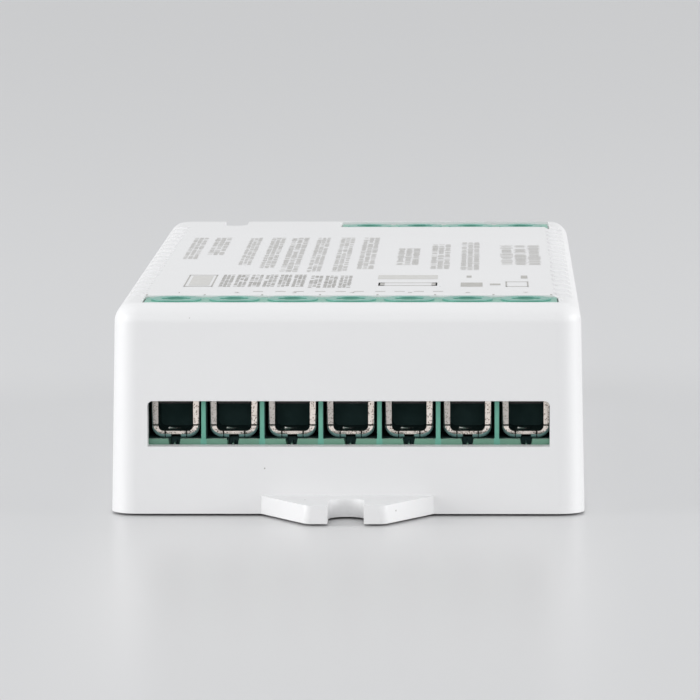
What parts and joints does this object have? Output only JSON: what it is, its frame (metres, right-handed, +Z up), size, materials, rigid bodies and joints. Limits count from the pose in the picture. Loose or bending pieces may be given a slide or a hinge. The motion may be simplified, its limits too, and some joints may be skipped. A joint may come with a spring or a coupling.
{
  "type": "led controller",
  "caption": "Flat white drafted case with vent grooves and fixing tabs, green rising-cage screw terminals along both ends, and a small pairing button.",
  "frame": {"origin": "centre of the bounding box at the underside", "axes": "+X right as seen from the front, +Y from the wide terminal row to the narrow one, +Z up through the lid"},
  "size_m": [0.041, 0.0974, 0.0182],
  "materials": {
    "cover_plastic": "fine matt moulding",
    "base_plastic": "fine matt moulding",
    "terminal_green": "satin moulding",
    "board_laminate": "solder resist",
    "tinned_brass": "tinned",
    "tinned_copper": "tinned",
    "cage_tin": "dull plating with dark specks",
    "screw_steel": "zinc plated",
    "shield_tin": "tinned sheet",
    "spring_steel": "bright",
    "capacitor_can": "satin",
    "capacitor_foot": "matt",
    "package_black": "moulded, matt",
    "ferrite": "sintered",
    "fuse_body": "matt",
    "ceramic_tan": "sintered",
    "resistor_black": "glazed",
    "led_lens": "clear resin over a white cup",
    "plunger_black": "matt",
    "button_plastic": "fine matt moulding"
  },
  "bodies": {
    "case": {"top_cover": "cover_plastic", "base_plate": "base_plastic", "circuit_board": "board_laminate", "front_terminal_housing": "terminal_green", "rear_terminal_housing": "terminal_green", "front_contact_bars": "tinned_brass", "rear_contact_bars": "tinned_brass", "mosfet_bodies": "package_black", "mosfet_metal": "tinned_copper", "driver_chip": "package_black", "regulator_chip": "package_black", "chip_leads": "tinned_copper", "input_capacitor": "capacitor_can", "output_capacitor": "capacitor_can", "capacitor_feet": "capacitor_foot", "power_inductor": "ferrite", "rectifier_diode": "package_black", "input_fuse": "fuse_body", "wireless_board": "board_laminate", "wireless_shield": "shield_tin", "radio_chip": "package_black", "ceramic_capacitors": "ceramic_tan", "chip_resistors": "resistor_black", "status_led": "led_lens", "switch_body": "package_black", "switch_lid": "shield_tin", "switch_dome": "spring_steel"},
    "front_screw_body_1": {"front_screw_1": "screw_steel"},
    "front_cage_body_1": {"front_cage_1": "cage_tin"},
    "front_screw_body_2": {"front_screw_2": "screw_steel"},
    "front_cage_body_2": {"front_cage_2": "cage_tin"},
    "front_screw_body_3": {"front_screw_3": "screw_steel"},
    "front_cage_body_3": {"front_cage_3": "cage_tin"},
    "front_screw_body_4": {"front_screw_4": "screw_steel"},
    "front_cage_body_4": {"front_cage_4": "cage_tin"},
    "front_screw_body_5": {"front_screw_5": "screw_steel"},
    "front_cage_body_5": {"front_cage_5": "cage_tin"},
    "front_screw_body_6": {"front_screw_6": "screw_steel"},
    "front_cage_body_6": {"front_cage_6": "cage_tin"},
    "front_screw_body_7": {"front_screw_7": "screw_steel"},
    "front_cage_body_7": {"front_cage_7": "cage_tin"},
    "rear_screw_body_1": {"rear_screw_1": "screw_steel"},
    "rear_cage_body_1": {"rear_cage_1": "cage_tin"},
    "rear_screw_body_2": {"rear_screw_2": "screw_steel"},
    "rear_cage_body_2": {"rear_cage_2": "cage_tin"},
    "rear_screw_body_3": {"rear_screw_3": "screw_steel"},
    "rear_cage_body_3": {"rear_cage_3": "cage_tin"},
    "rear_screw_body_4": {"rear_screw_4": "screw_steel"},
    "rear_cage_body_4": {"rear_cage_4": "cage_tin"},
    "button": {"pairing_button": "button_plastic", "switch_plunger": "plunger_black"}
  },
  "joints": [
    {"name": "front_screw_turn_1", "type": "hinge", "parent": "case", "child": "front_screw_body_1", "pos_m": [-0.01504, -0.03641, 0.0143], "axis": [0, 0, -1], "range_deg": [0, 1440]},
    {"name": "front_cage_lift_1", "type": "slide", "parent": "case", "child": "front_cage_body_1", "axis": [0, 0, 1], "range_m": [0, 0.0018]},
    {"name": "front_screw_turn_2", "type": "hinge", "parent": "case", "child": "front_screw_body_2", "pos_m": [-0.00996, -0.03641, 0.0143], "axis": [0, 0, -1], "range_deg": [0, 1440]},
    {"name": "front_cage_lift_2", "type": "slide", "parent": "case", "child": "front_cage_body_2", "axis": [0, 0, 1], "range_m": [0, 0.0018]},
    {"name": "front_screw_turn_3", "type": "hinge", "parent": "case", "child": "front_screw_body_3", "pos_m": [-0.00488, -0.03641, 0.0143], "axis": [0, 0, -1], "range_deg": [0, 1440]},
    {"name": "front_cage_lift_3", "type": "slide", "parent": "case", "child": "front_cage_body_3", "axis": [0, 0, 1], "range_m": [0, 0.0018]},
    {"name": "front_screw_turn_4", "type": "hinge", "parent": "case", "child": "front_screw_body_4", "pos_m": [0.0002, -0.03641, 0.0143], "axis": [0, 0, -1], "range_deg": [0, 1440]},
    {"name": "front_cage_lift_4", "type": "slide", "parent": "case", "child": "front_cage_body_4", "axis": [0, 0, 1], "range_m": [0, 0.0018]},
    {"name": "front_screw_turn_5", "type": "hinge", "parent": "case", "child": "front_screw_body_5", "pos_m": [0.00528, -0.03641, 0.0143], "axis": [0, 0, -1], "range_deg": [0, 1440]},
    {"name": "front_cage_lift_5", "type": "slide", "parent": "case", "child": "front_cage_body_5", "axis": [0, 0, 1], "range_m": [0, 0.0018]},
    {"name": "front_screw_turn_6", "type": "hinge", "parent": "case", "child": "front_screw_body_6", "pos_m": [0.01036, -0.03641, 0.0143], "axis": [0, 0, -1], "range_deg": [0, 1440]},
    {"name": "front_cage_lift_6", "type": "slide", "parent": "case", "child": "front_cage_body_6", "axis": [0, 0, 1], "range_m": [0, 0.0018]},
    {"name": "front_screw_turn_7", "type": "hinge", "parent": "case", "child": "front_screw_body_7", "pos_m": [0.01544, -0.03641, 0.0143], "axis": [0, 0, -1], "range_deg": [0, 1440]},
    {"name": "front_cage_lift_7", "type": "slide", "parent": "case", "child": "front_cage_body_7", "axis": [0, 0, 1], "range_m": [0, 0.0018]},
    {"name": "rear_screw_turn_1", "type": "hinge", "parent": "case", "child": "rear_screw_body_1", "pos_m": [0.0002, 0.03641, 0.0143], "axis": [0, 0, -1], "range_deg": [0, 1440]},
    {"name": "rear_cage_lift_1", "type": "slide", "parent": "case", "child": "rear_cage_body_1", "axis": [0, 0, 1], "range_m": [0, 0.0018]},
    {"name": "rear_screw_turn_2", "type": "hinge", "parent": "case", "child": "rear_screw_body_2", "pos_m": [0.00528, 0.03641, 0.0143], "axis": [0, 0, -1], "range_deg": [0, 1440]},
    {"name": "rear_cage_lift_2", "type": "slide", "parent": "case", "child": "rear_cage_body_2", "axis": [0, 0, 1], "range_m": [0, 0.0018]},
    {"name": "rear_screw_turn_3", "type": "hinge", "parent": "case", "child": "rear_screw_body_3", "pos_m": [0.01036, 0.03641, 0.0143], "axis": [0, 0, -1], "range_deg": [0, 1440]},
    {"name": "rear_cage_lift_3", "type": "slide", "parent": "case", "child": "rear_cage_body_3", "axis": [0, 0, 1], "range_m": [0, 0.0018]},
    {"name": "rear_screw_turn_4", "type": "hinge", "parent": "case", "child": "rear_screw_body_4", "pos_m": [0.01544, 0.03641, 0.0143], "axis": [0, 0, -1], "range_deg": [0, 1440]},
    {"name": "rear_cage_lift_4", "type": "slide", "parent": "case", "child": "rear_cage_body_4", "axis": [0, 0, 1], "range_m": [0, 0.0018]},
    {"name": "button_press", "type": "slide", "parent": "case", "child": "button", "axis": [0, 0, -1], "range_m": [0, 0.00025], "stiffness_N_per_m": 6000, "deforming": ["switch_dome"]}
  ],
  "couplings": [
    {"joint": "front_screw_turn_1", "follows": "front_cage_lift_1", "rad_per_m": 13963},
    {"joint": "front_screw_turn_2", "follows": "front_cage_lift_2", "rad_per_m": 13963},
    {"joint": "front_screw_turn_3", "follows": "front_cage_lift_3", "rad_per_m": 13963},
    {"joint": "front_screw_turn_4", "follows": "front_cage_lift_4", "rad_per_m": 13963},
    {"joint": "front_screw_turn_5", "follows": "front_cage_lift_5", "rad_per_m": 13963},
    {"joint": "front_screw_turn_6", "follows": "front_cage_lift_6", "rad_per_m": 13963},
    {"joint": "front_screw_turn_7", "follows": "front_cage_lift_7", "rad_per_m": 13963},
    {"joint": "rear_screw_turn_1", "follows": "rear_cage_lift_1", "rad_per_m": 13963},
    {"joint": "rear_screw_turn_2", "follows": "rear_cage_lift_2", "rad_per_m": 13963},
    {"joint": "rear_screw_turn_3", "follows": "rear_cage_lift_3", "rad_per_m": 13963},
    {"joint": "rear_screw_turn_4", "follows": "rear_cage_lift_4", "rad_per_m": 13963}
  ]
}
